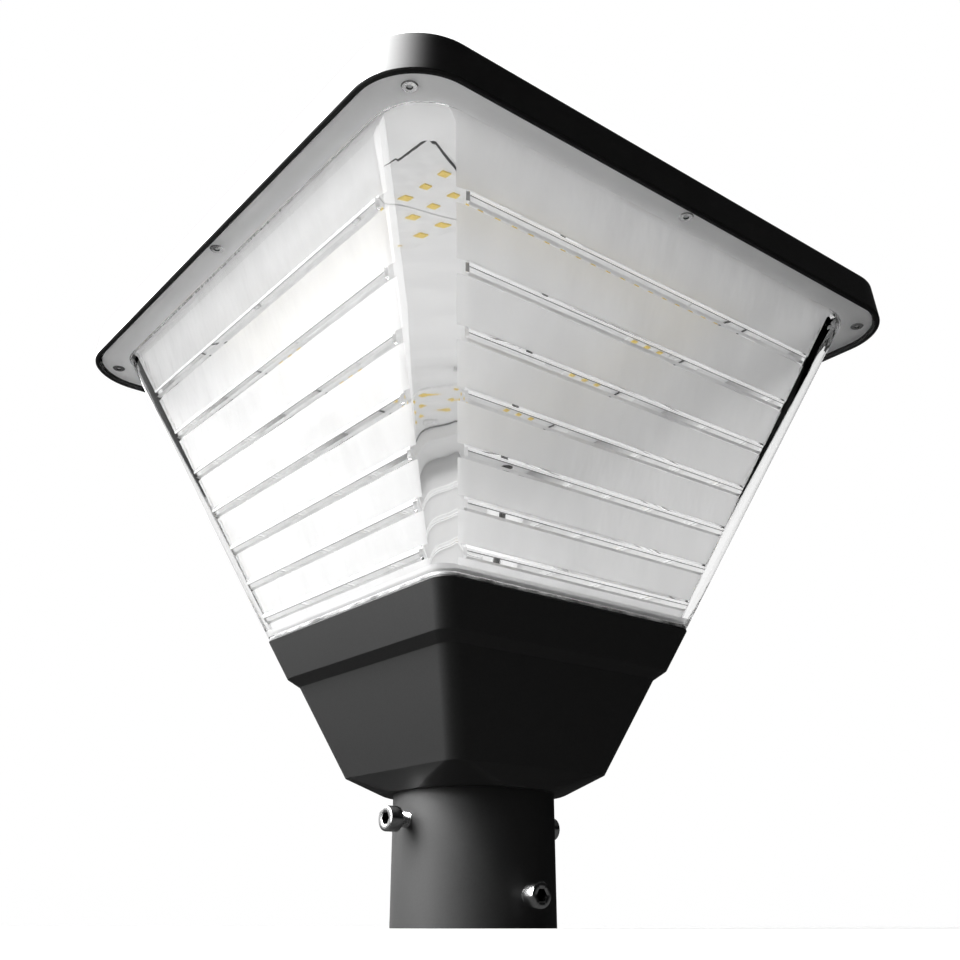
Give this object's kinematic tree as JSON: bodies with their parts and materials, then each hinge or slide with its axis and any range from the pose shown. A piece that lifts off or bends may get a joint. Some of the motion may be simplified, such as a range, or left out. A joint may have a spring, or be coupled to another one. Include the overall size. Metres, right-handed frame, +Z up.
{
  "type": "post top lantern",
  "caption": "Square lantern head that slips over a round post, with a ribbed inverted-pyramid lens, a stepped base and a flat overhanging cap.",
  "frame": {"origin": "centre of the sleeve's lower end, on the post's axis", "axes": "+Z up along the post, -Y the lantern's front face, -X its left face"},
  "size_m": [0.382, 0.382, 0.384],
  "materials": {
    "cast_base": "matt textured black powder coat on cast aluminium",
    "cast_cap": "glossy black paint on cast aluminium",
    "sleeve": "satin black powder coat",
    "lens": "clear acrylic, frosted between the ribs",
    "steel": "plain stainless steel",
    "white_sheet": "white painted sheet",
    "seal": "translucent silicone rubber",
    "dark_seal": "dark rubber",
    "board": "white coated circuit board",
    "chip": "yellow phosphor over each chip",
    "driver_case": "pale grey case",
    "zinc": "zinc plated sheet steel",
    "white_plastic": "white moulded plastic",
    "cable": "pale grey cable sheath"
  },
  "bodies": {
    "lantern": {"base_housing": "cast_base", "base_seal": "dark_seal", "board_connector": "white_plastic", "board_lead": "cable", "board_screws": "steel", "bracket_screws": "steel", "chips_back_left": "chip", "chips_back_right": "chip", "chips_front_left": "chip", "chips_front_right": "chip", "cover_grommet": "dark_seal", "cover_plate": "white_sheet", "cover_screws": "steel", "driver_bracket": "zinc", "driver_screws": "steel", "earth_screw": "steel", "input_lead": "cable", "lens": "lens", "lens_gasket": "seal", "lens_screws": "steel", "light_board_back_left": "board", "light_board_back_right": "board", "light_board_front_left": "board", "light_board_front_right": "board", "light_driver": "driver_case", "pan_grommet": "dark_seal", "pan_screws": "steel", "post_sleeve": "sleeve", "reflector_pan": "white_sheet", "sleeve_bolts": "steel", "surge_protector": "white_plastic", "terminal_block": "white_plastic", "top_cap": "cast_cap", "wire_grommet": "dark_seal"},
    "pole_screw_left": {"pole_screw_left": "steel"},
    "pole_screw_right": {"pole_screw_right": "steel"},
    "pole_screw_front": {"pole_screw_front": "steel"},
    "pole_screw_back": {"pole_screw_back": "steel"}
  },
  "joints": [
    {"name": "pole_screw_left_slide", "type": "slide", "parent": "lantern", "child": "pole_screw_left", "axis": [1, 0, 0], "range_m": [-0.002, 0.0062]},
    {"name": "pole_screw_right_slide", "type": "slide", "parent": "lantern", "child": "pole_screw_right", "axis": [-1, 0, 0], "range_m": [-0.002, 0.0062]},
    {"name": "pole_screw_front_slide", "type": "slide", "parent": "lantern", "child": "pole_screw_front", "axis": [0, 1, 0], "range_m": [-0.0045, 0.0036]},
    {"name": "pole_screw_back_slide", "type": "slide", "parent": "lantern", "child": "pole_screw_back", "axis": [0, -1, 0], "range_m": [-0.0045, 0.0036]}
  ]
}
